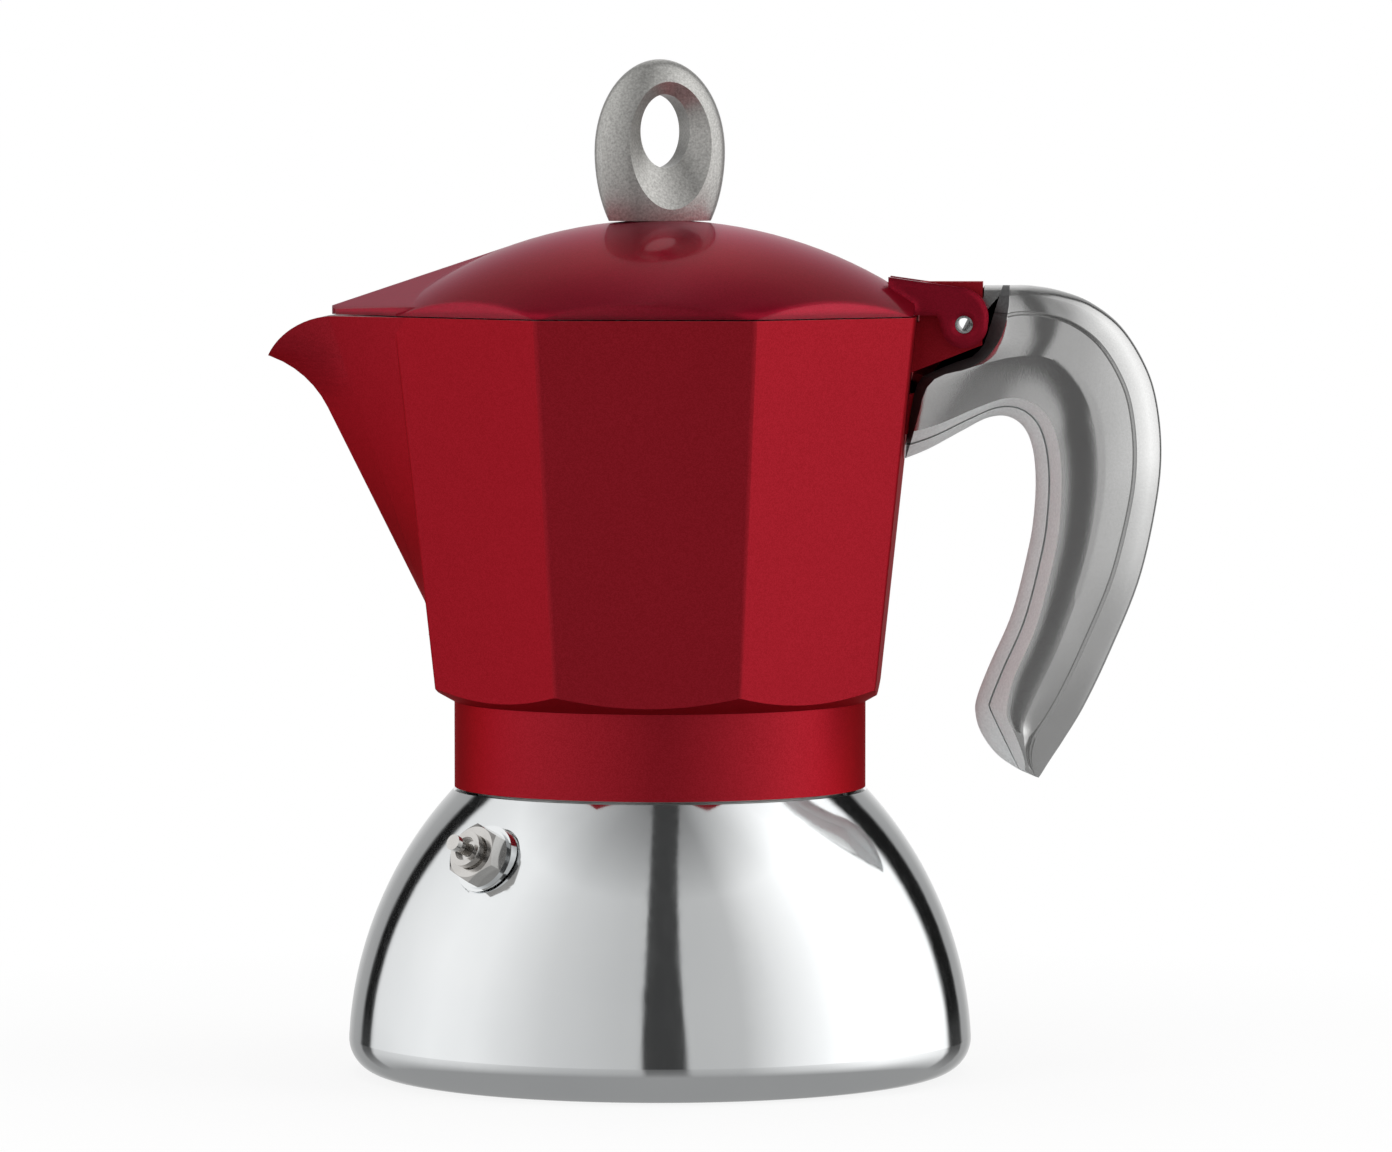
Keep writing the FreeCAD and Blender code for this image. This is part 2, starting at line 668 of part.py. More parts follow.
def roof_form(drop):
    """Two sloping planes that meet on the tongue's ridge, lowered by drop."""
    far_x = tongue_nose - cutting_margin
    half = rim_corner_radius
    sections = []
    for x in (far_x, 0):
        ridge = tongue_ridge_height + tongue_ridge_slope * (x - tongue_ridge_start) - drop
        eaves = ridge - tongue_side_slope * half
        corners = [Vector(x, 0, ridge), Vector(x, half, eaves), Vector(x, half, keel_foot_height)]
        corners += [Vector(x, -half, keel_foot_height), Vector(x, -half, eaves)]
        sections.append(Part.makePolygon(corners + [corners[0]]))
    return Part.makeLoft(sections, True, True)


tongue = tongue_form(0, lid_bottom, dome_apex).common(roof_form(0))
ear_points = [Vector(x, 0, z) for x, z in (
    (ear_front, lid_bottom), (ear_front, ear_top_near_dome), (ear_bend_x, ear_top_near_pin),
    (ear_crown_x, ear_crown_height), (pin_x + ear_radius, pin_height), (pin_x, pin_height - ear_radius),
    (pin_x - ear_radius, pin_height), (pin_x - ear_radius - ear_heel, lid_bottom))]
ear_edges = [line(ear_points[0], ear_points[1]), line(ear_points[1], ear_points[2])]
ear_edges.append(arc(ear_points[2], ear_points[3], ear_points[4]))
ear_edges.append(arc(ear_points[4], ear_points[5], ear_points[6]))
ear_edges += [line(ear_points[6], ear_points[7]), line(ear_points[7], ear_points[0])]
ears = [plate_across(ear_edges, ear_low, ear_high), plate_across(ear_edges, -ear_high, -ear_low)]
lid = lid.fuse([tongue] + ears)
inner_dome = Part.makeSphere(dome_radius - lid_wall, dome_centre)
inner_block = octagon_taper(lid_corner_radius - 2 * lid_wall, lid_bottom - 1,
                            lid_corner_radius - 2 * lid_wall, dome_apex)
ear_block = Part.makeBox(rim_corner_radius, 4 * ear_high, dome_apex, Vector(ear_root, -2 * ear_high, 0))
lid = lid.cut(inner_dome.common(inner_block).cut(ear_block))
tongue_hollow = tongue_form(2 * lid_wall, lid_bottom - 1, dome_apex).common(roof_form(lid_wall * 1.1))
lid = lid.cut(tongue_hollow)
corner_to_pin = math.hypot(pin_x - lug_front, lug_top - pin_height)
lid = lid.cut(rod_across(corner_to_pin + lug_sweep_gap, pin_x, pin_height, -ear_low, ear_low))
lid = lid.cut(rod_across(pin_radius + pin_running_fit, pin_x, pin_height, -2 * ear_high, 2 * ear_high))
lid = lid.cut(disc(knob_screw_radius + screw_fit, lid_bottom, dome_apex + 1))
save(lid.removeSplitter(), "lid")

# Knob: an egg turned round the axis, flattened in depth, with an oval dished hole
knob_bottom = dome_apex - dome_flat_drop + knob_seat_gap
knob_top = knob_bottom + knob_height
knob_widest_height = knob_bottom + knob_widest_rise
knob_hole_height = knob_bottom + knob_hole_rise
knob_dish_height = knob_hole_height - knob_dish_drop
egg_start = -math.acos(knob_base_half_width / knob_half_width)
egg_below = (knob_widest_height - knob_bottom) / math.sin(-egg_start)
egg_above = knob_top - knob_widest_height
egg_points = []
for step in range(egg_steps):
    egg_angle = egg_start + (math.pi / 2 - egg_start) * step / egg_steps
    egg_height = math.sin(egg_angle) * (egg_above if egg_angle > 0 else egg_below)
    egg_points.append(Vector(knob_half_width * math.cos(egg_angle), 0, knob_widest_height + egg_height))
egg_points.append(Vector(0, 0, knob_top))
egg_side = Part.BSplineCurve()
egg_side.interpolate(egg_points)
egg_edges = [egg_side.toShape(), line(egg_points[-1], Vector(0, 0, knob_bottom))]
egg_edges.append(line(Vector(0, 0, knob_bottom), egg_points[0]))
egg = Part.Face(Part.Wire(egg_edges)).revolve(Vector(0, 0, 0), up, 360)
flatten = FreeCAD.Matrix()
flatten.scale(1, knob_half_depth / knob_half_width, 1)
egg = egg.transformGeometry(flatten)


def oval(half_width, half_height, centre_height, depth):
    centre = Vector(0, depth, centre_height)
    curve = Part.Ellipse(centre + up * half_height, centre + Vector(half_width, 0, 0), centre)
    return Part.Wire(curve.toShape())


knob = egg
outside = 2.5
for face_side in (-1, 1):
    hole_rim = oval(knob_hole_half_width, knob_hole_half_height, knob_hole_height, knob_hole_land * face_side)
    dish_rim = oval(
        knob_hole_half_width + outside * (knob_dish_half_width - knob_hole_half_width),
        knob_hole_half_height + outside * (knob_dish_half_height - knob_hole_half_height),
        knob_hole_height + outside * (knob_dish_height - knob_hole_height),
        face_side * (knob_hole_land + outside * (knob_dish_depth - knob_hole_land)))
    knob = knob.cut(Part.makeLoft([hole_rim, dish_rim], True, True))
hole_end = oval(knob_hole_half_width, knob_hole_half_height, knob_hole_height, -knob_half_depth)
knob = knob.cut(Part.Face(hole_end).extrude(Vector(0, 2 * knob_half_depth, 0)))
knob = knob.cut(disc(knob_screw_radius + screw_fit, knob_bottom - 1, knob_bottom + knob_screw_depth))
knob.rotate(Vector(0, 0, 0), up, knob_turn)
save(knob, "knob")

# Knob fixing: washer and screw under the lid
washer_top = dome_centre.z + math.sqrt((dome_radius - lid_wall) ** 2 - knob_washer_radius ** 2)
washer_bottom = washer_top - knob_washer_thickness
knob_washer = ring(knob_screw_radius + screw_fit, knob_washer_radius, washer_bottom, washer_top)
save(knob_washer, "knob_washer")
screw_end = knob_bottom + knob_screw_depth - 0.5
knob_screw = disc(knob_screw_radius, washer_bottom - 0.5, screw_end)
screw_head_bottom = washer_bottom - knob_screw_head_height
knob_screw = knob_screw.fuse(disc(knob_screw_head_radius, screw_head_bottom, washer_bottom))
driver_slot = Part.makeBox(2 * knob_screw_head_radius, 1.0, 1.0,
                           Vector(-knob_screw_head_radius, -0.5, screw_head_bottom))
knob_screw = knob_screw.cut(driver_slot)
save(knob_screw, "knob_screw")


# Handle: one outline in the middle plane, split into two hollow shells off the middle
def curve_through(points):
    spline = Part.BSplineCurve()
    spline.interpolate([Vector(x, 0, z) for x, z in points])
    return spline.toShape()


def line_between(start, end):
    return line(Vector(start[0], 0, start[1]), Vector(end[0], 0, end[1]))


def moved_inward(points):
    """The inner points of a clockwise outline, each moved in by the shell's wall."""
    moved = []
    for before, point, after in zip(points, points[1:], points[2:]):
        run_x = after[0] - before[0]
        run_z = after[1] - before[1]
        run = math.hypot(run_x, run_z)
        step = handle_shell_wall / run
        moved.append((point[0] + step * run_z, point[1] - step * run_x))
    return moved


handle_low_front = (flat_distance_at(handle_foot_height) + handle_pot_gap, handle_foot_height)
handle_nose = (lug_rear + handle_front_gap, lug_foot_high - handle_corner_drop)
handle_corner = (flat_distance_at(lug_foot_low) + handle_pot_gap, lug_foot_low - handle_corner_drop)
handle_top_front = (lug_rear + handle_front_gap, handle_top)
handle_top_back = (64.0, handle_top)
handle_tip = (66.1, 51.4)
handle_heel = (63.4, 52.5)
handle_pit = (59.9, 114.6)
back_points = [handle_top_back, (74.8, 134.5), (81.3, 129.2), (85.7, 120.5), (87.4, 108.3), (84.1, 87.4),
               (75.3, 66.4), handle_tip]
grip_points = [handle_heel, (58.3, 55.9), (55.0, 63.0), (56.9, 69.9), (61.4, 80.3), (64.8, 94.3),
               (65.4, 105.5), handle_pit]
under_points = [handle_pit, (52.8, 112.0), handle_low_front]
handle_outline = [curve_through(back_points)]
handle_outline.append(line_between(handle_tip, handle_heel))
handle_outline += [curve_through(grip_points), curve_through(under_points)]
handle_outline += [line_between(handle_low_front, handle_corner), line_between(handle_corner, handle_nose)]
handle_outline.append(line_between(handle_nose, handle_top_front))
handle_outline.append(line_between(handle_top_front, handle_top_back))
handle_whole = plate_across(handle_outline, -handle_half_width, handle_half_width)


def crowned_section(start, end, wall):
    """A closed section across the handle, from its grip side to its back, thinner by a wall on each side."""
    way = Vector(end[0] - start[0], 0, end[1] - start[1])
    width = way.Length
    way = way.normalize()
    ridge = chamfer_end + ridge_share * (width - back_band - chamfer_end)
    half = [(-section_over, nose_half_width), (chamfer_start, handle_seam_half)]
    half += [(chamfer_end, chamfer_half_width), (ridge, handle_half_width)]
    half += [(width - back_band, back_half_width), (width + section_over, nose_half_width)]
    half = [(u, max(v - wall, hollow_least_half)) for u, v in half]
    near = [Vector(start[0], -v, start[1]) + way * u for u, v in half]
    far = [Vector(start[0], v, start[1]) + way * u for u, v in reversed(half)]
    return Part.makePolygon(near + far + [near[0]])


crowned = Part.makeLoft([crowned_section(start, end, 0) for start, end in handle_sections], True, False)
handle_whole = handle_whole.common(crowned)

# Spaces inside the shells: a pocket for the tang, a hollow grip with bosses, room for the ears to swing
tang_corners = [Vector(x, 0, z) for x, z in tang_points]
tang_face = Part.Face(Part.makePolygon(tang_corners + [tang_corners[0]]))
pocket_face = tang_face.makeOffset2D(handle_front_gap)
pocket_half = tang_half_width + handle_front_gap
pocket = pocket_face.translated(Vector(0, -pocket_half, 0)).extrude(Vector(0, 2 * pocket_half, 0))
hollow_back = moved_inward(back_points)
hollow_grip = moved_inward(grip_points)[1:]
hollow_outline = [curve_through(hollow_back), line_between(hollow_back[-1], hollow_grip[0])]
hollow_outline += [curve_through(hollow_grip), line_between(hollow_grip[-1], hollow_back[0])]
hollow_half = handle_half_width - handle_shell_wall
hollow = plate_across(hollow_outline, -hollow_half, hollow_half)
inner_sections = [crowned_section(start, end, handle_shell_wall) for start, end in handle_sections]
hollow = hollow.common(Part.makeLoft(inner_sections, True, False))
for x, z in shell_screw_places:
    hollow = hollow.cut(rod_across(shell_screw_boss_radius, x, z, -hollow_half, hollow_half))
swing_width = 4 * handle_half_width
swing_edge = Part.makeBox(handle_hinge_edge - pin_x, swing_width, handle_top, Vector(pin_x, 0, pin_height))
swing = swing_edge.fuse(rod_across(handle_hinge_clear, pin_x, pin_height, 0, swing_width))
near_swing = swing.translated(Vector(0, handle_parting - swing_width, 0))
far_swing = swing.translated(Vector(0, ear_low - ear_gap / 2, 0))
handle_whole = handle_whole.cut([pocket, hollow, near_swing, far_swing])


# Handle screws go in from the far side and end inside the near shell
def handle_screw(radius, x, z):
    head_top = handle_half_width - screw_head_depth
    head_bottom = head_top - screw_head_height
    shank = rod_across(radius, x, z, -handle_half_width + screw_tip_cover, head_bottom + 0.5)
    screw = shank.fuse(rod_across(radius * screw_head_ratio, x, z, head_bottom, head_top))
    slot_width = radius * 0.5
    slot_corner = Vector(x - 2 * radius, head_top - screw_slot_depth, z - slot_width / 2)
    slot = Part.makeBox(4 * radius, screw_slot_depth, slot_width, slot_corner)
    return screw.cut(slot)


def screw_space(radius, x, z):
    head_bottom = handle_half_width - screw_head_depth - screw_head_height
    tip = -handle_half_width + screw_tip_cover - slide_fit
    bore = rod_across(radius + screw_fit, x, z, tip, head_bottom + 0.5)
    head_radius = radius * screw_head_ratio + slide_fit
    return bore.fuse(rod_across(head_radius, x, z, head_bottom, handle_half_width + 1))


handle_whole = handle_whole.cut(screw_space(mount_screw_radius, mount_screw_x, mount_screw_height))
for x, z in shell_screw_places:
    handle_whole = handle_whole.cut(screw_space(shell_screw_radius, x, z))
near_corner = Vector(0, handle_parting - swing_width, 0)
near_side = Part.makeBox(2 * rim_height, swing_width, 2 * rim_height, near_corner)
handle_near_shell = handle_whole.common(near_side)
handle_far_shell = handle_whole.cut(near_side)
save(handle_near_shell, "handle_near_shell")
save(handle_far_shell, "handle_far_shell")
save(handle_screw(mount_screw_radius, mount_screw_x, mount_screw_height), "handle_mount_screw")
shell_screws = [handle_screw(shell_screw_radius, x, z) for x, z in shell_screw_places]
save(Part.makeCompound(shell_screws), "handle_shell_screws")
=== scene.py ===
import math

import bmesh
import bpy
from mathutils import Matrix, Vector


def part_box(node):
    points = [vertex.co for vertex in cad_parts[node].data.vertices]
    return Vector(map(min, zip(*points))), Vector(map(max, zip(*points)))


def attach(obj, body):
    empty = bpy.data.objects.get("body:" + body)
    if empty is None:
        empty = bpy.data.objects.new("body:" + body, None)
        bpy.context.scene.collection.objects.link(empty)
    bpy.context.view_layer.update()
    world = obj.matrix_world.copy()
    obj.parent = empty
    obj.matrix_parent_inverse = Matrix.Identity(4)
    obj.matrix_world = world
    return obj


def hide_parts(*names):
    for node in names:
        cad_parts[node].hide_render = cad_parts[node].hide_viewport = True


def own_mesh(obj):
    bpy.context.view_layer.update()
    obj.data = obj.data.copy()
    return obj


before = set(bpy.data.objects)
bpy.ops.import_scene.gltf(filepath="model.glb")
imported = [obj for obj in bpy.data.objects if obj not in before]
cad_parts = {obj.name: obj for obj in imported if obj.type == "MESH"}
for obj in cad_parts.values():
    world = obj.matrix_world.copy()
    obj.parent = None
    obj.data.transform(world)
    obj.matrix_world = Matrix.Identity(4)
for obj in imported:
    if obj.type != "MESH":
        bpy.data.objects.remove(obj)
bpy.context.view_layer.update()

# Boiler shell: the bell-shaped skin of the boiler, pressed from stainless steel and polished.
# It is bonded over the aluminium vessel and stands on its flat bottom.


def node_group(name, inputs, outputs):
    """An empty shader group with named inputs (with their values) and outputs."""
    group = bpy.data.node_groups.new(name, "ShaderNodeTree")
    for label, kind, value in inputs:
        socket = group.interface.new_socket(label, in_out="INPUT", socket_type="NodeSocket" + kind)
        socket.default_value = value
    for label, kind in outputs:
        group.interface.new_socket(label, in_out="OUTPUT", socket_type="NodeSocket" + kind)
    return group, group.nodes.new("NodeGroupInput"), group.nodes.new("NodeGroupOutput")


def math_node(tree, operation, first, second=None, clamp=False):
    """The output of a math node whose inputs are sockets or plain numbers."""
    node = tree.nodes.new("ShaderNodeMath")
    node.operation = operation
    node.use_clamp = clamp
    for socket, value in zip(node.inputs, (first, second)):
        if isinstance(value, (int, float)):
            socket.default_value = value
        elif value is not None:
            tree.links.new(value, socket)
    return node.outputs[0]


def cloudy(tree, vector, scale):
    """A soft cloudy mask."""
    node = tree.nodes.new("ShaderNodeTexNoise")
    node.inputs["Scale"].default_value = scale
    node.inputs["Detail"].default_value = 4.0
    node.inputs["Roughness"].default_value = 0.55
    tree.links.new(vector, node.inputs["Vector"])
    return node.outputs["Fac"]


# The hand marks group gives faint cloudy patches and fine streaks, as cloth and fingers leave on metal.
hand_marks, given, made = node_group(
    "hand_marks",
    [("Cloud Size", "Float", 30.0), ("Streak Stretch", "Vector", (1.0, 1.0, 0.08)),
     ("Streak Size", "Float", 900.0)],
    [("Cloud", "Float"), ("Streak", "Float")])
marks_at = hand_marks.nodes.new("ShaderNodeTexCoord").outputs["Object"]
cloud = hand_marks.nodes.new("ShaderNodeTexNoise")
cloud.inputs["Detail"].default_value = 5.0
hand_marks.links.new(marks_at, cloud.inputs["Vector"])
hand_marks.links.new(given.outputs["Cloud Size"], cloud.inputs["Scale"])
stretch = hand_marks.nodes.new("ShaderNodeVectorMath")
stretch.operation = "MULTIPLY"
hand_marks.links.new(marks_at, stretch.inputs[0])
hand_marks.links.new(given.outputs["Streak Stretch"], stretch.inputs[1])
streak = hand_marks.nodes.new("ShaderNodeTexNoise")
streak.inputs["Detail"].default_value = 3.0
hand_marks.links.new(stretch.outputs[0], streak.inputs["Vector"])
hand_marks.links.new(given.outputs["Streak Size"], streak.inputs["Scale"])
hand_marks.links.new(cloud.outputs["Fac"], made.inputs["Cloud"])
hand_marks.links.new(streak.outputs["Fac"], made.inputs["Streak"])


def new_material(name):
    """A material with nodes, its tree and its shader."""
    material = bpy.data.materials.new(name)
    material.use_nodes = True
    return material, material.node_tree, material.node_tree.nodes["Principled BSDF"]


def place_group(tree, group, **values):
    """A group in a material, with values by input name."""
    node = tree.nodes.new("ShaderNodeGroup")
    node.node_tree = group
    for label, value in values.items():
        node.inputs[label.replace("_", " ")].default_value = value
    return node


mask_low = 0.3
mask_high = 0.7


def vary(tree, mask, low, high, target):
    """Spreads a mask between two values on a shader socket."""
    node = tree.nodes.new("ShaderNodeMapRange")
    node.inputs["From Min"].default_value = mask_low
    node.inputs["From Max"].default_value = mask_high
    node.inputs["To Min"].default_value = low
    node.inputs["To Max"].default_value = high
    tree.links.new(mask, node.inputs["Value"])
    tree.links.new(node.outputs["Result"], target)


def vary_colour(tree, mask, low, high, target):
    """Spreads a mask between two colours on a shader socket."""
    node = tree.nodes.new("ShaderNodeValToRGB")
    node.color_ramp.elements[0].position = mask_low
    node.color_ramp.elements[1].position = mask_high
    node.color_ramp.elements[0].color = (*low, 1)
    node.color_ramp.elements[1].color = (*high, 1)
    tree.links.new(mask, node.inputs["Fac"])
    tree.links.new(node.outputs["Color"], target)


def bump(tree, height, strength, distance, target):
    """Raises a mask on a shader's normal and gives back the node."""
    node = tree.nodes.new("ShaderNodeBump")
    node.inputs["Strength"].default_value = strength
    node.inputs["Distance"].default_value = distance
    tree.links.new(height, node.inputs["Height"])
    tree.links.new(node.outputs["Normal"], target)
    return node


def dress(node, *materials):
    """Gives a CAD node its materials, in slot order."""
    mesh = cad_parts[node].data
    mesh.materials.clear()
    for material in materials:
        mesh.materials.append(material)


steel_dull = (0.80, 0.82, 0.83)
steel_bright = (0.86, 0.875, 0.88)
polished_steel, tree, shader = new_material("polished_steel")
shader.inputs["Metallic"].default_value = 1.0
marks = place_group(tree, hand_marks, Cloud_Size=28.0, Streak_Stretch=(1.0, 1.0, 0.04), Streak_Size=700.0)
vary_colour(tree, marks.outputs["Cloud"], steel_dull, steel_bright, shader.inputs["Base Color"])
vary(tree, marks.outputs["Streak"], 0.06, 0.10, shader.inputs["Roughness"])
bump(tree, marks.outputs["Streak"], 0.05, 0.00005, shader.inputs["Normal"])
dress("boiler_shell", polished_steel)

# Boiler liner: the aluminium vessel inside the skin, with the threaded neck that shows when the pot is open.
# It is drawn and machined, so its surface is satin with fine turning lines.
aluminium_dull = (0.60, 0.60, 0.59)
aluminium_bright = (0.70, 0.70, 0.69)
bare_aluminium, tree, shader = new_material("bare_aluminium")
shader.inputs["Metallic"].default_value = 1.0
marks = place_group(tree, hand_marks, Cloud_Size=60.0, Streak_Stretch=(0.1, 0.1, 1.0), Streak_Size=1500.0)
vary_colour(tree, marks.outputs["Cloud"], aluminium_dull, aluminium_bright, shader.inputs["Base Color"])
vary(tree, marks.outputs["Streak"], 0.30, 0.45, shader.inputs["Roughness"])
bump(tree, marks.outputs["Streak"], 0.15, 0.0001, shader.inputs["Normal"])
dress("boiler_liner", bare_aluminium, polished_steel)

# The boss that carries the safety valve comes through the skin and is polished with it.
boss_low, boss_high = (Vector(c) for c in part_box("valve_washer"))
boss_middle = (boss_low + boss_high) / 2
boss_reach = 0.0075
boss_start = math.hypot(boss_middle.x, boss_middle.y) - boss_reach / 2
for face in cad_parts["boiler_liner"].data.polygons:
    outside = math.hypot(face.center.x, face.center.y) > boss_start
    face.material_index = int(outside and (face.center - boss_middle).length < boss_reach)

# Safety valve: a hexagon with retainer and stem, turned from brass and nickel-plated, with a bright washer.
# It is screwed into the boiler; a steel spring inside presses the stem's rubber seal on its seat.
nickel_dull = (0.58, 0.565, 0.545)
nickel_bright = (0.66, 0.645, 0.625)
nickel_plate, tree, shader = new_material("nickel_plate")
shader.inputs["Metallic"].default_value = 1.0
marks = place_group(tree, hand_marks, Cloud_Size=400.0, Streak_Stretch=(1.0, 1.0, 0.3), Streak_Size=3000.0)
vary_colour(tree, marks.outputs["Cloud"], nickel_dull, nickel_bright, shader.inputs["Base Color"])
vary(tree, marks.outputs["Streak"], 0.12, 0.18, shader.inputs["Roughness"])
bump(tree, marks.outputs["Streak"], 0.04, 0.00005, shader.inputs["Normal"])
for part in ("valve_body", "valve_retainer", "valve_stem"):
    dress(part, nickel_plate)
dress("valve_washer", polished_steel)

wire_dull = (0.55, 0.55, 0.55)
wire_bright = (0.66, 0.66, 0.66)
bright_steel, tree, shader = new_material("bright_steel")
shader.inputs["Metallic"].default_value = 1.0
marks = place_group(tree, hand_marks, Cloud_Size=300.0, Streak_Stretch=(1.0, 0.1, 1.0), Streak_Size=2500.0)
vary_colour(tree, marks.outputs["Cloud"], wire_dull, wire_bright, shader.inputs["Base Color"])
vary(tree, marks.outputs["Streak"], 0.22, 0.34, shader.inputs["Roughness"])
dress("valve_spring", bright_steel)

# The spring is wound along the valve's axis from the retainer inward, as one fixed coil; on the real valve it
# shortens towards the retainer when the stem lifts.
valve_bearing = math.radians(39.0)
valve_tilt = math.radians(23.5)
valve_axis = Vector((-math.sin(valve_bearing) * math.cos(valve_tilt),
                     -math.cos(valve_bearing) * math.cos(valve_tilt), math.sin(valve_tilt)))
retainer_thickness = 0.0008
spring_length = 0.0045
spring_turns = 5
coil_radius = 0.0017
wire_radius = 0.00015
coil_steps = 24
wire_sides = 8
retainer_low, retainer_high = (Vector(c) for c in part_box("valve_retainer"))
spring_end = (retainer_low + retainer_high) / 2 - valve_axis * retainer_thickness / 2
across_valve = valve_axis.orthogonal().normalized()
round_valve = valve_axis.cross(across_valve)


def face_outward(mesh):
    """Turns all faces of a closed mesh outward."""
    shape = bmesh.new()
    shape.from_mesh(mesh)
    bmesh.ops.recalc_face_normals(shape, faces=shape.faces[:])
    shape.to_mesh(mesh)
    shape.free()


coil_points = []
coil_faces = []
coil_rings = spring_turns * coil_steps + 1
for ring_number in range(coil_rings):
    turn = 2 * math.pi * ring_number / coil_steps
    share = ring_number / (coil_rings - 1)
    outward = across_valve * math.cos(turn) + round_valve * math.sin(turn)
    depth = wire_radius + (spring_length - 2 * wire_radius) * share
    for side in range(wire_sides):
        bend = 2 * math.pi * side / wire_sides
        reach = outward * (coil_radius + wire_radius * math.cos(bend))
        coil_points.append(spring_end + reach - valve_axis * (depth + wire_radius * math.sin(bend)))
    if ring_number:
        first = (ring_number - 1) * wire_sides
        second = ring_number * wire_sides
        for side in range(wire_sides):
            step = (side + 1) % wire_sides
            coil_faces.append((first + side, first + step, second + step, second + side))
coil_faces.append(tuple(reversed(range(wire_sides))))
coil_faces.append(tuple(range((coil_rings - 1) * wire_sides, coil_rings * wire_sides)))
spring_mesh = bpy.data.meshes.new("relief_spring")
spring_mesh.from_pydata(coil_points, [], coil_faces)
spring_mesh.materials.append(bright_steel)
face_outward(spring_mesh)
spring_mesh.shade_smooth()
relief_spring = bpy.data.objects.new("relief_spring", spring_mesh)
bpy.context.scene.collection.objects.link(relief_spring)
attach(relief_spring, "boiler")
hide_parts("valve_spring")
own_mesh(relief_spring)

# Seals: the valve's seal and the ring gasket under the collector, moulded in white silicone rubber.
# The gasket is pushed into the collector by hand and wears a little darker with use.
rubber_worn = (0.74, 0.72, 0.66)
rubber_white = (0.84, 0.83, 0.79)
white_rubber, tree, shader = new_material("white_rubber")
shader.inputs["Roughness"].default_value = 0.55
marks = place_group(tree, hand_marks, Cloud_Size=90.0, Streak_Stretch=(1.0, 1.0, 1.0), Streak_Size=1800.0)
vary_colour(tree, marks.outputs["Cloud"], rubber_worn, rubber_white, shader.inputs["Base Color"])
bump(tree, marks.outputs["Streak"], 0.10, 0.0001, shader.inputs["Normal"])
dress("valve_seal", white_rubber)
dress("gasket", white_rubber)

# Coffee funnel and filter plate: spun and punched from aluminium sheet.
# The funnel hangs in the boiler's neck; the gasket holds the plate under the collector.
for part in ("funnel_basket", "funnel_tube", "basket_sieve", "filter_plate"):
    dress(part, bare_aluminium)

# Collector: one aluminium casting with skirt, spout, riser column, hinge lug and handle tang.
# Outside it has a red metallic lacquer; the chamber, the lip and the top edge are bare metal.
lacquer_cloud_size = 18.0
lacquer_grain, given, made = node_group(
    "lacquer_grain", [("Peel Size", "Float", 900.0), ("Flake Size", "Float", 6000.0)],
    [("Peel", "Float"), ("Flake", "Float"), ("Cloud", "Float")])
grain_at = lacquer_grain.nodes.new("ShaderNodeTexCoord").outputs["Object"]
peel = lacquer_grain.nodes.new("ShaderNodeTexNoise")
peel.inputs["Detail"].default_value = 2.0
lacquer_grain.links.new(grain_at, peel.inputs["Vector"])
lacquer_grain.links.new(given.outputs["Peel Size"], peel.inputs["Scale"])
flake = lacquer_grain.nodes.new("ShaderNodeTexVoronoi")
lacquer_grain.links.new(grain_at, flake.inputs["Vector"])
lacquer_grain.links.new(given.outputs["Flake Size"], flake.inputs["Scale"])
flake_value = lacquer_grain.nodes.new("ShaderNodeSeparateColor")
lacquer_grain.links.new(flake.outputs["Color"], flake_value.inputs["Color"])
lacquer_grain.links.new(peel.outputs["Fac"], made.inputs["Peel"])
lacquer_grain.links.new(flake_value.outputs["Red"], made.inputs["Flake"])
lacquer_grain.links.new(cloudy(lacquer_grain, grain_at, lacquer_cloud_size), made.inputs["Cloud"])

red_deep = (0.35, 0.014, 0.023)
red_light = (0.42, 0.019, 0.032)
red_lacquer, tree, shader = new_material("red_lacquer")
shader.inputs["Metallic"].default_value = 0.9
shader.inputs["Specular IOR Level"].default_value = 0.2
shader.inputs["Specular Tint"].default_value = (0.55, 0.03, 0.05, 1)
grain = place_group(tree, lacquer_grain, Peel_Size=1100.0, Flake_Size=7000.0)
vary_colour(tree, grain.outputs["Flake"], red_deep, red_light, shader.inputs["Base Color"])
vary(tree, grain.outputs["Cloud"], 0.42, 0.48, shader.inputs["Roughness"])
bump(tree, grain.outputs["Peel"], 0.12, 0.0001, shader.inputs["Normal"])
dress("collector", red_lacquer, bare_aluminium)

lug_start = 0.0428
pot_reach = 0.07
floor_low = 0.0675
floor_high = 0.07
column_reach = 0.012
column_foot = 0.06
lip_low = 0.11
rim_high = 0.1325
skirt_bore = 0.0355
turned_in = -0.2
sloped = 0.3
lying = 0.9
smallest_reach = 1e-6
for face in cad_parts["collector"].data.polygons:
    middle = face.center
    reach = math.hypot(middle.x, middle.y)
    facing = (face.normal.x * middle.x + face.normal.y * middle.y) / max(reach, smallest_reach)
    on_lug = middle.x > lug_start
    inward = facing < turned_in and reach < pot_reach
    on_floor = floor_low < middle.z < floor_high and abs(face.normal.z) > lying
    on_column = reach < column_reach and middle.z > column_foot
    on_rim = face.normal.z > sloped and lip_low < middle.z < rim_high
    underneath = face.normal.z < -sloped and reach < skirt_bore and middle.z < floor_high
    bare = inward or on_floor or on_column or on_rim or underneath
    face.material_index = int(bare and not on_lug)

# Hinge pin and hidden screws: a rolled steel pin pushed through lug and ears, hollow and slotted.
# The screws of handle and knob and the knob's washer are plain steel.
for part in ("hinge_pin", "handle_mount_screw", "handle_shell_screws", "knob_screw", "knob_washer"):
    dress(part, bright_steel)

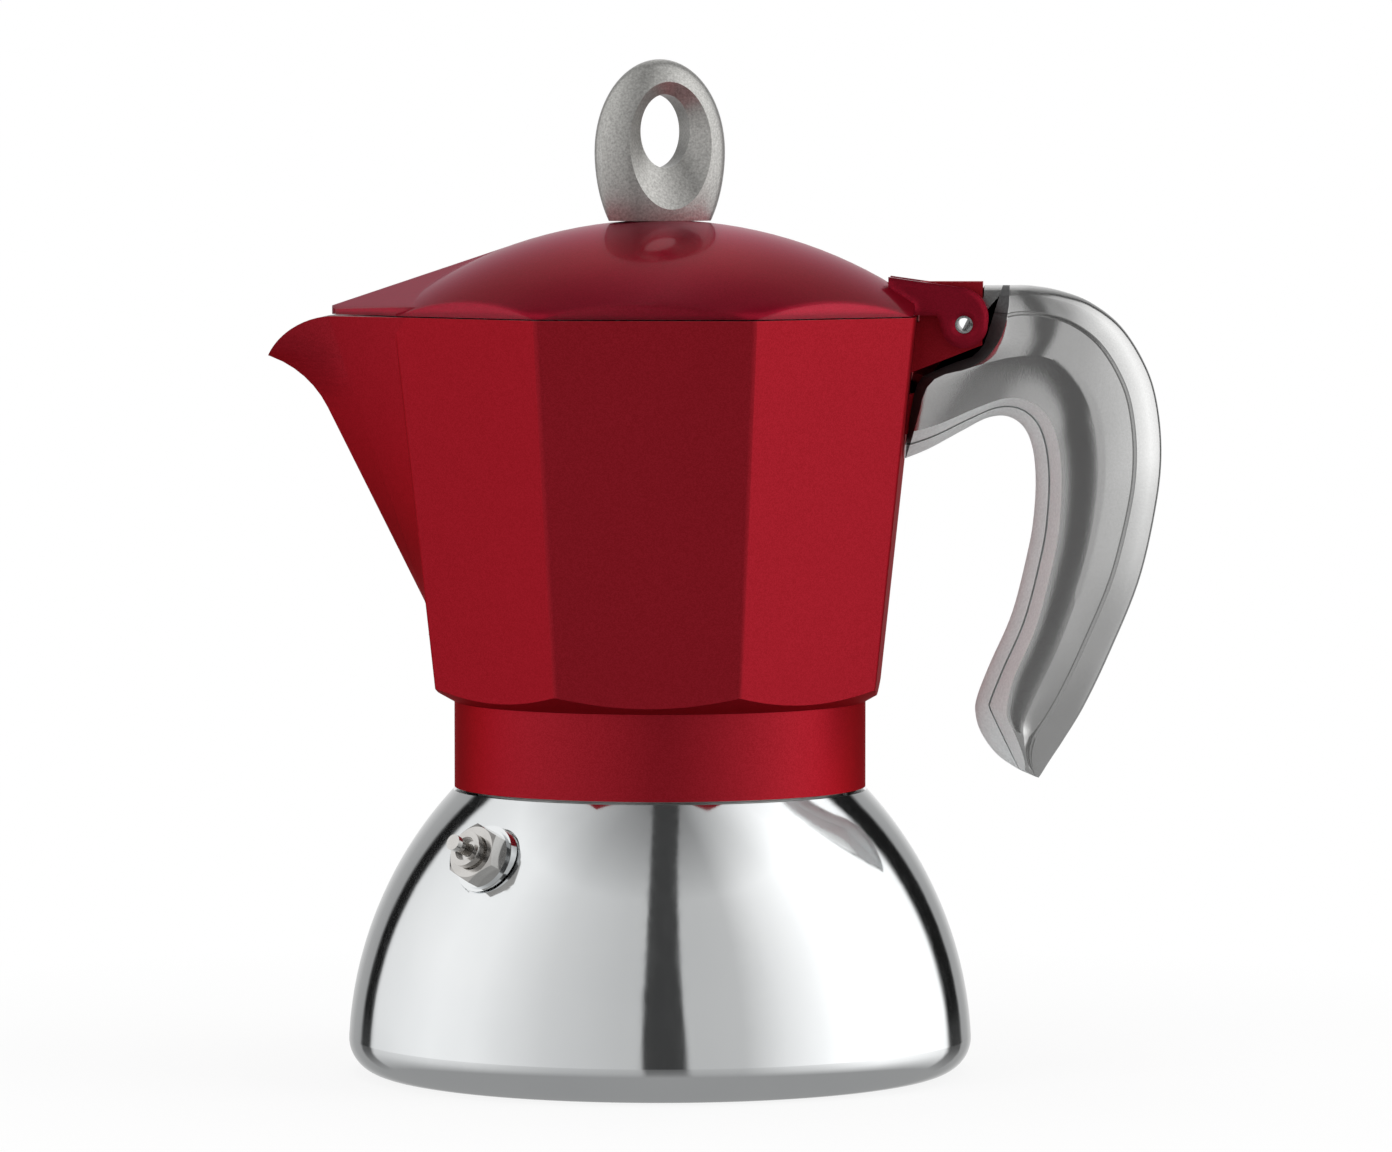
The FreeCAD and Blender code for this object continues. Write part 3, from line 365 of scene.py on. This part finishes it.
# Lid: a pressed aluminium dome with a roof-shaped tongue over the spout, lacquered like the collector.
# A clear coat makes it glossier than the pot, and inside it is bare metal.
# Its two ears turn on the hinge pin.
lid_red_deep = (0.30, 0.009, 0.024)
lid_red_light = (0.37, 0.012, 0.032)
coated_lacquer, tree, shader = new_material("coated_lacquer")
shader.inputs["Metallic"].default_value = 0.9
shader.inputs["Specular IOR Level"].default_value = 0.2
shader.inputs["Specular Tint"].default_value = (0.75, 0.28, 0.42, 1)
shader.inputs["Coat Weight"].default_value = 0.28
shader.inputs["Coat Roughness"].default_value = 0.1
grain = place_group(tree, lacquer_grain, Peel_Size=800.0, Flake_Size=7000.0)
vary_colour(tree, grain.outputs["Flake"], lid_red_deep, lid_red_light, shader.inputs["Base Color"])
vary(tree, grain.outputs["Cloud"], 0.30, 0.36, shader.inputs["Roughness"])
raised = bump(tree, grain.outputs["Peel"], 0.10, 0.0001, shader.inputs["Normal"])
soft_edge = 0.002
rounded = tree.nodes.new("ShaderNodeBevel")
rounded.inputs["Radius"].default_value = soft_edge
tree.links.new(rounded.outputs["Normal"], raised.inputs["Normal"])
dress("lid", coated_lacquer, bare_aluminium)

lid_top = 0.15
ear_start = 0.043
upright = 0.1
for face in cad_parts["lid"].data.polygons:
    middle = face.center
    facing = face.normal.x * middle.x + face.normal.y * middle.y
    inward = facing < turned_in * math.hypot(middle.x, middle.y)
    under = face.normal.z < -sloped
    wall_inside = inward and middle.z < lid_top and face.normal.z < upright
    face.material_index = int(middle.x < ear_start and (under or wall_inside))

# Knob: an egg-shaped ring with a dished hole, to lift the lid by.
# It is moulded, finished in a fine satin grain and screwed on from under the lid.
satin_cloud_size = 40.0
satin_grain, given, made = node_group(
    "satin_grain", [("Grain Size", "Float", 3500.0)], [("Grain", "Float"), ("Cloud", "Float")])
satin_at = satin_grain.nodes.new("ShaderNodeTexCoord").outputs["Object"]
fine = satin_grain.nodes.new("ShaderNodeTexNoise")
fine.inputs["Detail"].default_value = 2.0
satin_grain.links.new(satin_at, fine.inputs["Vector"])
satin_grain.links.new(given.outputs["Grain Size"], fine.inputs["Scale"])
satin_grain.links.new(fine.outputs["Fac"], made.inputs["Grain"])
satin_grain.links.new(cloudy(satin_grain, satin_at, satin_cloud_size), made.inputs["Cloud"])

knob_dark = (0.33, 0.325, 0.31)
knob_light = (0.52, 0.515, 0.495)
knob_satin, tree, shader = new_material("knob_satin")
shader.inputs["Metallic"].default_value = 0.72
grain = place_group(tree, satin_grain, Grain_Size=2600.0)
vary_colour(tree, grain.outputs["Grain"], knob_dark, knob_light, shader.inputs["Base Color"])
vary(tree, grain.outputs["Cloud"], 0.28, 0.34, shader.inputs["Roughness"])
bump(tree, grain.outputs["Grain"], 0.35, 0.0001, shader.inputs["Normal"])
dress("knob", knob_satin)

# Handle: two moulded grey shells, closed round the collector's tang and screwed together from the far side.
# Nose and chamfer are matt with a visible grain.
# The crowned face, the groove and the round back have a satin lacquer.
satin_dark = (0.58, 0.58, 0.575)
satin_light = (0.64, 0.64, 0.635)
handle_satin, tree, shader = new_material("handle_satin")
shader.inputs["Metallic"].default_value = 0.9
grain = place_group(tree, satin_grain, Grain_Size=4200.0)
vary_colour(tree, grain.outputs["Grain"], satin_dark, satin_light, shader.inputs["Base Color"])
vary(tree, grain.outputs["Cloud"], 0.11, 0.14, shader.inputs["Roughness"])
bump(tree, grain.outputs["Grain"], 0.08, 0.0001, shader.inputs["Normal"])

matt_dark = (0.58, 0.61, 0.61)
matt_light = (0.68, 0.71, 0.71)
handle_matt, tree, shader = new_material("handle_matt")
shader.inputs["Roughness"].default_value = 0.6
shader.inputs["Specular IOR Level"].default_value = 0.25
grain = place_group(tree, satin_grain, Grain_Size=2200.0)
vary_colour(tree, grain.outputs["Grain"], matt_dark, matt_light, shader.inputs["Base Color"])
bump(tree, grain.outputs["Grain"], 0.25, 0.0001, shader.inputs["Normal"])

# Recess: a near-black grey, painted shade for the dark wall where the near shell's edge drops into its
# recess.
recess_shade_deep = (0.055, 0.055, 0.056)
recess_shade_pale = (0.08, 0.08, 0.081)
recess_painted_shade, tree, shader = new_material("recess_painted_shade")
shader.inputs["Metallic"].default_value = 0.2
grain = place_group(tree, satin_grain, Grain_Size=2600.0)
vary_colour(tree, grain.outputs["Grain"], recess_shade_deep, recess_shade_pale, shader.inputs["Base Color"])
vary(tree, grain.outputs["Cloud"], 0.42, 0.50, shader.inputs["Roughness"])

# Rows of the handle in mm, from the pot to the tip: each starts on the grip side and ends on the back.
handle_rows = [
    ((42.9, 107.2), (60.9, 137.3)), ((47.0, 108.9), (64.5, 137.25)), ((52.5, 111.9), (69.5, 136.4)),
    ((57.0, 114.2), (74.8, 134.4)), ((60.5, 114.5), (80.0, 130.4)), ((63.3, 112.7), (84.0, 124.4)),
    ((64.9, 109.0), (86.3, 118.0)), ((65.45, 103.5), (87.3, 109.0)), ((65.1, 97.0), (86.5, 99.5)),
    ((64.1, 91.0), (83.5, 86.0)), ((61.4, 80.3), (78.2, 72.9)), ((57.6, 71.5), (73.9, 63.9)),
    ((55.3, 65.5), (70.4, 58.1)), ((55.1, 62.5), (69.3, 56.4)), ((56.1, 59.3), (68.3, 54.9)),
    ((58.7, 55.7), (67.4, 53.5)), ((62.2, 53.2), (66.6, 52.2)), ((64.8, 52.0), (66.1, 51.5))]
# Three lines in front: the near shell's edge, the foot of its recess, whose wall is painted dark as shade,
# and the middle at pot and lug.
front_edge = [
    (42.9, 107.2), (44.3, 111.6), (45.4, 115.6), (46.1, 118.6), (47.2, 120.6), (49.0, 121.8), (51.4, 122.4),
    (54.0, 123.0), (56.6, 124.6), (58.4, 126.5), (59.6, 128.6), (60.3, 130.6), (60.8, 134.0), (60.9, 137.3)]
recess_foot = [
    (42.8, 107.2), (43.7, 115.0), (44.5, 119.2), (45.6, 121.4), (50.0, 123.4), (54.6, 125.0), (56.4, 126.8),
    (57.5, 130.2), (58.8, 134.4), (59.7, 137.3)]
front_middle = [(42.6, 107.1), (43.8, 122.0), (56.35, 127.05), (56.5, 137.3)]
parting = 3.5
seam = 2.6
seam_gap = 0.3
seam_depth = 0.8
chamfer_rise = 8.0
chamfer_slope = 2.15
face_rise = 0.07
arm_rise = 0.2
face_bend = 0.10
face_fall = 2.3
fall_bend = 0.3
face_share = 0.58
groove_inner = 5.2
groove_outer = 4.4
groove_edge = (0.25, 0.45)
groove_foot = (0.2, 0.5)
back_rise = 5.7
back_end = groove_outer * (parting / back_rise) ** 2
full_width = 16.0
heel_start = Vector((56.6, 66.2))
heel_end = Vector((62.9, 52.8))
heel_slope = 1.35
heel_row = 11.0
front_rows = 4
front_swell = 0.01
arm_rows = 6
arm_hollow = 0.4
arm_hollow_power = 1.5
row_count = 110
sharp_angle = math.radians(18)
millimetre = 0.001
chamfer_steps = 4
face_steps = 8
fall_steps = 7
back_steps = 10
round_steps = 6


def spline_at(points, share):
    """A point on a smooth curve through the points, by share of their number."""
    place = min(max(share, 0.0), 1.0) * (len(points) - 1)
    index = min(int(place), len(points) - 2)
    t = place - index
    nearby = [min(max(k, 0), len(points) - 1) for k in range(index - 1, index + 3)]
    before, start, end, after = (Vector(points[k]) for k in nearby)
    return 0.5 * (2 * start + (end - before) * t + (2 * before - 5 * start + 4 * end - after) * t ** 2
                  + (3 * start - before - 3 * end + after) * t ** 3)


def along(points, share):
    """A point on the broken line through the points, by share of its length."""
    lengths = [(Vector(b) - Vector(a)).length for a, b in zip(points, points[1:])]
    rest = share * sum(lengths)
    for start, end, length in zip(points, points[1:], lengths):
        if rest <= length:
            return Vector(start).lerp(Vector(end), rest / length)
        rest -= length
    return Vector(points[-1])


def section(width, seam_at, slope, lift):
    """Outer face of a section from the seam to the parting on the back: places across and rises."""
    chamfer_end = seam_at + (chamfer_rise - parting) / slope
    face = []
    for k in range(chamfer_steps + 1):
        face.append((seam_at + (chamfer_end - seam_at) * k / chamfer_steps,
                     parting + (chamfer_rise - parting) * k / chamfer_steps))
    broad = face_share * (width - groove_inner - chamfer_end)
    for k in range(1, face_steps + 1):
        share = k / face_steps
        face.append((chamfer_end + broad * share, chamfer_rise + broad * (lift - face_bend * share) * share))
    ridge, ridge_rise = face[-1]
    fall = width - groove_inner - ridge
    drop = ridge_rise - chamfer_rise + face_fall
    for k in range(1, fall_steps + 1):
        share = k / fall_steps
        face.append((ridge + fall * share, ridge_rise - (drop - fall_bend) * share - fall_bend * share ** 2))
    groove_rise = face[-1][1]
    face.append((width - groove_inner + groove_edge[0], groove_rise - groove_edge[1]))
    face.append((width - groove_outer - groove_foot[0], groove_rise - groove_foot[1]))
    for k in range(back_steps + 1):
        back = groove_outer + (back_end - groove_outer) * k / back_steps
        face.append((width - back, back_rise * math.sqrt(back / groove_outer)))
    return face


def shell_loops(curve_at, width, face, seam_at, scale, swell):
    """Closed sections of both shells on one row; curve_at gives its points by share of the width."""
    def point(across, rise):
        flat = curve_at(across / width)
        return (flat.x, rise * scale, flat.y)

    outside = [(across, parting + (rise - parting) * swell) for across, rise in face]
    near = [point(across, -rise) for across, rise in outside]
    nose = seam_at - seam_gap
    far = [point(seam_at, -parting), point(seam_at, seam_depth - parting)]
    far += [point(nose, seam_depth - parting), point(nose, -parting)]
    for k in range(-round_steps, round_steps + 1):
        share = k / (round_steps + 0.5)
        far.append(point(nose * share ** 2, parting * share))
    far += [point(across, rise) for across, rise in outside]
    for k in range(round_steps - 1, -round_steps - 1, -1):
        far.append(point(width - back_end * (k / round_steps) ** 2, parting * k / round_steps))
    return near, far


def handle_loops():
    """The closed sections of the near and the far shell, from the pot to the tip."""
    near, far = [], []
    last = len(handle_rows) - 1
    heel_way = heel_end - heel_start
    width = (Vector(handle_rows[0][1]) - Vector(handle_rows[0][0])).length
    face = section(width, seam, chamfer_slope, face_rise)
    for line, kept in ((front_middle, False), (recess_foot, True)):
        near_loop, far_loop = shell_loops(lambda part: along(line, part), width, face, seam, 1.0, front_swell)
        near += [near_loop] if kept else []
        far.append(far_loop)
    for row in range(row_count):
        at = last * row / (row_count - 1)
        start = spline_at([r[0] for r in handle_rows], at / last)
        end = spline_at([r[1] for r in handle_rows], at / last)
        width = (end - start).length
        scale = min(1.0, width / full_width)
        seam_at = seam
        slope = chamfer_slope
        if at > heel_row:
            way = (end - start) / width
            crossing = (heel_start - start).cross(heel_way) / way.cross(heel_way)
            seam_at = max(seam, crossing / scale)
            slope += (heel_slope - chamfer_slope) * min(1.0, at - heel_row)
        bend = max(0.0, 1 - at / front_rows) ** 2
        on_arm = max(0.0, 1 - at / arm_rows)
        lift = face_rise + arm_rise * on_arm
        swell = 1 - arm_hollow * on_arm ** arm_hollow_power

        def curve_at(part):
            straight = Vector(front_edge[0]).lerp(Vector(front_edge[-1]), part)
            return start.lerp(end, part) + (along(front_edge, part) - straight) * bend

        near_loop, far_loop = shell_loops(
            curve_at, width / scale, section(width / scale, seam_at, slope, lift), seam_at, scale, swell)
        near.append(near_loop)
        far.append(far_loop)
    return near, far


def lofted(name, loops, painted_shade_row, matt_count):
    """A closed skin through loops in mm, with one row painted near-black as the recess's shade, and a matt
    nose and chamfer.
    """
    count = len(loops[0])
    points = [tuple(millimetre * c for c in point) for loop in loops for point in loop]
    faces = []
    for row in range(len(loops) - 1):
        first = row * count
        second = first + count
        for k in range(count):
            step = (k + 1) % count
            faces.append((first + k, first + step, second + step, second + k))
    faces.append(tuple(reversed(range(count))))
    faces.append(tuple(range((len(loops) - 1) * count, len(loops) * count)))
    mesh = bpy.data.meshes.new(name)
    mesh.from_pydata(points, [], faces)
    for material in (handle_satin, handle_matt, recess_painted_shade):
        mesh.materials.append(material)
    for face in mesh.polygons[:(len(loops) - 1) * count]:
        matt = face.index % count < matt_count
        face.material_index = 2 if face.index // count == painted_shade_row else int(matt)
    face_outward(mesh)
    mesh.shade_smooth()
    mesh.set_sharp_from_angle(angle=sharp_angle)
    thing = bpy.data.objects.new(name, mesh)
    bpy.context.scene.collection.objects.link(thing)
    return thing


near_loops, far_loops = handle_loops()
near_matt = chamfer_steps
far_matt = chamfer_steps + 2 * round_steps + 5
# Row 0 of the near shell and row 1 of the far shell are the recess wall, which carries the painted shade.
near_shell = lofted("near_shell", near_loops, 0, near_matt)
far_shell = lofted("far_shell", far_loops, 1, far_matt)
for shell, node in ((near_shell, "handle_near_shell"), (far_shell, "handle_far_shell")):
    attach(shell, "collector")
    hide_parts(node)

# Studio: a white floor, a light tent that only the gloss sees, and soft lamps left, right and above.
# The tent has a white softbox on each side, narrow dark gaps between the boxes and a grey back.
floor_half = 6.0
floor_mesh = bpy.data.meshes.new("floor")
floor_corners = [(-floor_half, -floor_half, 0), (floor_half, -floor_half, 0),
                 (floor_half, floor_half, 0), (-floor_half, floor_half, 0)]
floor_mesh.from_pydata(floor_corners, [], [(0, 1, 2, 3)])
floor = bpy.data.objects.new("floor", floor_mesh)
bpy.context.scene.collection.objects.link(floor)
floor.visible_glossy = False
floor_white, tree, shader = new_material("floor_white")
shader.inputs["Base Color"].default_value = (0.9, 0.9, 0.9, 1)
shader.inputs["Roughness"].default_value = 0.9


def seen_straight(tree):
    """1 where the eye, a gloss or a clear pane sees a surface, 0 where it only lights others."""
    seen = tree.nodes.new("ShaderNodeLightPath")
    straight = math_node(tree, "MAXIMUM", seen.outputs["Is Camera Ray"], seen.outputs["Is Glossy Ray"])
    return math_node(tree, "MAXIMUM", straight, seen.outputs["Is Transmission Ray"])


# Near the pot a part of the floor's own shade stays, so its shadow shows; farther off the floor is white.
shade_near = 0.05
shade_far = 0.22
white_near = 0.85
glow = tree.nodes.new("ShaderNodeEmission")
glow.inputs["Strength"].default_value = 1.0
mixed = tree.nodes.new("ShaderNodeMixShader")
far_off = tree.nodes.new("ShaderNodeVectorMath")
far_off.operation = "LENGTH"
tree.links.new(tree.nodes.new("ShaderNodeTexCoord").outputs["Object"], far_off.inputs[0])
white_share = tree.nodes.new("ShaderNodeMapRange")
white_share.inputs["From Min"].default_value = shade_near
white_share.inputs["From Max"].default_value = shade_far
white_share.inputs["To Min"].default_value = white_near
white_share.inputs["To Max"].default_value = 1.0
tree.links.new(far_off.outputs["Value"], white_share.inputs["Value"])
whitened = math_node(tree, "MULTIPLY", seen_straight(tree), white_share.outputs["Result"])
tree.links.new(whitened, mixed.inputs["Fac"])
tree.links.new(shader.outputs[0], mixed.inputs[1])
tree.links.new(glow.outputs[0], mixed.inputs[2])
tree.links.new(mixed.outputs[0], tree.nodes["Material Output"].inputs["Surface"])
floor_mesh.materials.append(floor_white)

# Brightness of the tent by plan direction in degrees, from the camera's side round towards the handle.
tent_stops = [
    (-180, 0.95), (-163, 0.6), (-152, 0.40), (-142, 0.36), (-140, 0.01), (-131, 0.01), (-129, 0.85),
    (-90, 1.0), (-70, 0.95), (-40, 0.70), (-12, 0.58), (20, 0.54), (34, 0.56), (50, 0.88), (65, 1.1),
    (80, 1.4), (92, 1.6), (134, 1.2), (137, 0.01), (150, 0.01), (152, 0.36), (160, 0.40), (168, 0.6),
    (180, 0.95)]
# Share of that brightness by height, from the bottom of the tent at -1 to its top at 1.
level_stops = [(-1.0, 1.0), (0.75, 1.0), (0.97, 0.45), (1.0, 0.3)]
tent_radius = 2.5
tent_mesh = bpy.data.meshes.new("light_tent")
shape = bmesh.new()
bmesh.ops.create_uvsphere(shape, u_segments=96, v_segments=48, radius=tent_radius)
shape.to_mesh(tent_mesh)
shape.free()
tent = bpy.data.objects.new("light_tent", tent_mesh)
bpy.context.scene.collection.objects.link(tent)
tent.visible_camera = False
tent.visible_diffuse = False
tent.visible_transmission = False
tent.visible_shadow = False
tent_light, tree, shader = new_material("tent_light")
tree.nodes.remove(shader)
apart = tree.nodes.new("ShaderNodeSeparateXYZ")
tree.links.new(tree.nodes.new("ShaderNodeTexCoord").outputs["Object"], apart.inputs[0])
turn = math_node(tree, "ARCTAN2", apart.outputs["X"], math_node(tree, "MULTIPLY", apart.outputs["Y"], -1.0))
turn = math_node(tree, "ADD", math_node(tree, "DIVIDE", turn, 2 * math.pi), 0.5)
rise = math_node(tree, "DIVIDE", apart.outputs["Z"], tent_radius)
height = math_node(tree, "ADD", math_node(tree, "DIVIDE", rise, 2.0), 0.5)


def grey(value):
    return (value, value, value, 1)


def grey_ramp(tree, place, stops):
    """A ramp of greys along a socket, with stops as (place from 0 to 1, grey)."""
    node = tree.nodes.new("ShaderNodeValToRGB")
    elements = node.color_ramp.elements
    while len(elements) < len(stops):
        elements.new(0.5)
    for element, (stop, value) in zip(elements, stops):
        element.position = stop
    for element, (stop, value) in zip(elements, stops):
        element.color = grey(value)
    tree.links.new(place, node.inputs["Fac"])
    return node.outputs["Color"]


top_stop = max(level for angle, level in tent_stops)
round_tent = grey_ramp(tree, turn, [(angle / 360 + 0.5, level / top_stop) for angle, level in tent_stops])
up_tent = grey_ramp(tree, height, [(place / 2 + 0.5, level) for place, level in level_stops])
product = tree.nodes.new("ShaderNodeMix")
product.data_type = "RGBA"
product.blend_type = "MULTIPLY"
product.inputs["Factor"].default_value = 1.0
tree.links.new(round_tent, product.inputs["A"])
tree.links.new(up_tent, product.inputs["B"])

# A dark board stands in front, tapers upwards and bends back over the camera.
board_middle = 0.087
board_half = 0.156
board_taper = 0.5
board_dark = 0.05
board_edge = 40.0
board_back = 0.35
board_back_edge = 20.0
raised_part = math_node(tree, "MAXIMUM", rise, 0.0)
taper = math_node(tree, "SUBTRACT", 1.0, math_node(tree, "MULTIPLY", raised_part, board_taper))
across = math_node(tree, "DIVIDE", math_node(tree, "DIVIDE", apart.outputs["X"], tent_radius), taper)
beside = math_node(tree, "ABSOLUTE", math_node(tree, "SUBTRACT", across, board_middle))
board = math_node(tree, "MULTIPLY", math_node(tree, "SUBTRACT", board_half, beside), board_edge, clamp=True)
in_front = math_node(tree, "SUBTRACT", board_back, math_node(tree, "DIVIDE", apart.outputs["Y"], tent_radius))
in_front = math_node(tree, "MULTIPLY", in_front, board_back_edge, clamp=True)
board = math_node(tree, "MULTIPLY", board, in_front)
shaded = tree.nodes.new("ShaderNodeMix")
shaded.data_type = "RGBA"
tree.links.new(board, shaded.inputs["Factor"])
tree.links.new(product.outputs["Result"], shaded.inputs["A"])
shaded.inputs["B"].default_value = grey(board_dark / top_stop)

# Near the floor all fades to grey.
floor_grey = 0.33
fade_start = -0.01
fade_rate = 2.2
grounded = tree.nodes.new("ShaderNodeMix")
grounded.data_type = "RGBA"
low = math_node(tree, "MULTIPLY", math_node(tree, "SUBTRACT", fade_start, rise), fade_rate, clamp=True)
tree.links.new(low, grounded.inputs["Factor"])
tree.links.new(shaded.outputs["Result"], grounded.inputs["A"])
grounded.inputs["B"].default_value = grey(floor_grey / top_stop)
glow = tree.nodes.new("ShaderNodeEmission")
glow.inputs["Strength"].default_value = top_stop
tree.links.new(grounded.outputs["Result"], glow.inputs["Color"])
tree.links.new(glow.outputs[0], tree.nodes["Material Output"].inputs["Surface"])
tent_mesh.materials.append(tent_light)

# The room is white to the eye and lights the pot softly.
room_light = 0.3
world = bpy.data.worlds.new("studio_white")
bpy.context.scene.world = world
world.use_nodes = True
tree = world.node_tree
world_strength = tree.nodes.new("ShaderNodeMapRange")
world_strength.inputs["To Min"].default_value = room_light
world_strength.inputs["To Max"].default_value = 1.0
tree.links.new(seen_straight(tree), world_strength.inputs["Value"])
tree.links.new(world_strength.outputs["Result"], tree.nodes["Background"].inputs["Strength"])
tree.nodes["Background"].inputs["Color"].default_value = (1, 1, 1, 1)


def lamp(name, place, aim, width, height, watts):
    """A soft rectangular lamp that the gloss doesn't see."""
    light = bpy.data.lights.new(name, "AREA")
    light.shape = "RECTANGLE"
    light.size = width
    light.size_y = height
    light.energy = watts
    light.specular_factor = 0.0
    thing = bpy.data.objects.new(name, light)
    thing.location = place
    thing.rotation_euler = (Vector(aim) - Vector(place)).to_track_quat("-Z", "Y").to_euler()
    thing.visible_glossy = False
    bpy.context.scene.collection.objects.link(thing)


pot_middle = (0, 0, 0.09)
lamp("left_softbox", (-0.95, -0.95, 0.45), pot_middle, 0.8, 1.2, 11)
lamp("right_softbox", (1.3, -0.3, 0.5), pot_middle, 0.9, 1.2, 11)
lamp("top_softbox", (0, 0.2, 1.5), pot_middle, 1.2, 1.2, 8)

# Camera: a little above the lid and to the handle's side, with a long lens.
# Place, aim and lens follow the photograph.
photo_width = 1392
focal_pixels = 7903
camera_data = bpy.data.cameras.new("photo_camera")
camera_data.sensor_fit = "HORIZONTAL"
camera_data.sensor_width = 36.0
camera_data.lens = focal_pixels / photo_width * camera_data.sensor_width
camera = bpy.data.objects.new("photo_camera", camera_data)
camera.location = (0.0783, -1.3748, 0.1625)
picture_centre = Vector((0.00627, 0.00036, 0.0865))
camera.rotation_euler = (picture_centre - camera.location).to_track_quat("-Z", "Y").to_euler()
bpy.context.scene.collection.objects.link(camera)
bpy.context.scene.camera = camera
bpy.context.scene.view_settings.view_transform = "Standard"
